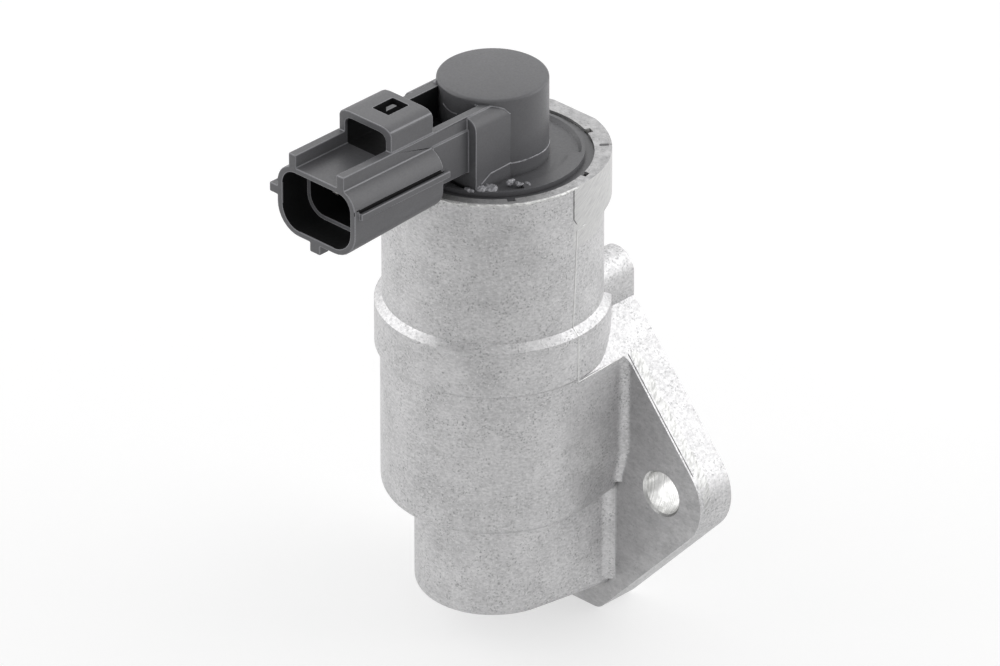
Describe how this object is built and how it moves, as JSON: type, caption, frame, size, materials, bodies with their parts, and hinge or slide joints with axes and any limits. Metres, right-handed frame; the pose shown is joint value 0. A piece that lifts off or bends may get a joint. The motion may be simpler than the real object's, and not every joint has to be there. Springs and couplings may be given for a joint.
{
  "type": "idle air control valve",
  "caption": "Solenoid air valve: die-cast body with a two-bolt flange and two ports, a sprung plunger inside, and a moulded cap with an electrical socket.",
  "frame": {"origin": "centre between the two bolt holes, on the flange's mating face", "axes": "+Y outwards from the mating face, +X along the flange through both bolt holes, +Z along the valve's axis towards the cap"},
  "size_m": [0.0684, 0.0575, 0.0992],
  "materials": {
    "cast_body": "as-cast, fine matte skin",
    "black_plastic": "satin glass-filled moulding",
    "bobbin_plastic": "satin",
    "rubber": "matte",
    "steel": "plated, fine turned",
    "spring_steel": "bright wire",
    "copper": "enamelled wire",
    "brass": "turned",
    "tinned_brass": "tin plated",
    "turned_aluminium": "turned"
  },
  "bodies": {
    "housing": {"valve_housing": "cast_body", "flange_seal": "rubber", "valve_seat": "brass", "lower_pole_plate": "steel", "lower_bush": "brass", "lower_o_ring": "rubber", "solenoid_can": "steel", "guide_sleeve": "brass", "coil_bobbin": "bobbin_plastic", "coil_winding": "copper", "upper_pole_plate": "steel", "fixed_core": "steel", "upper_bush": "brass", "connector_cap": "black_plastic", "terminal_left": "tinned_brass", "terminal_right": "tinned_brass", "cap_o_ring": "rubber", "spring_cup": "steel", "return_spring": "spring_steel"},
    "plunger": {"armature": "steel", "stop_washer": "brass", "valve_shaft": "steel", "valve_head": "turned_aluminium", "head_facing": "rubber", "shaft_clip": "spring_steel"}
  },
  "joints": [
    {"name": "plunger_slide", "type": "slide", "parent": "housing", "child": "plunger", "axis": [0, 0, 1], "range_m": [0, 0.003], "stiffness_N_per_m": 1500, "springref_m": -0.002, "deforming": ["return_spring"]}
  ]
}
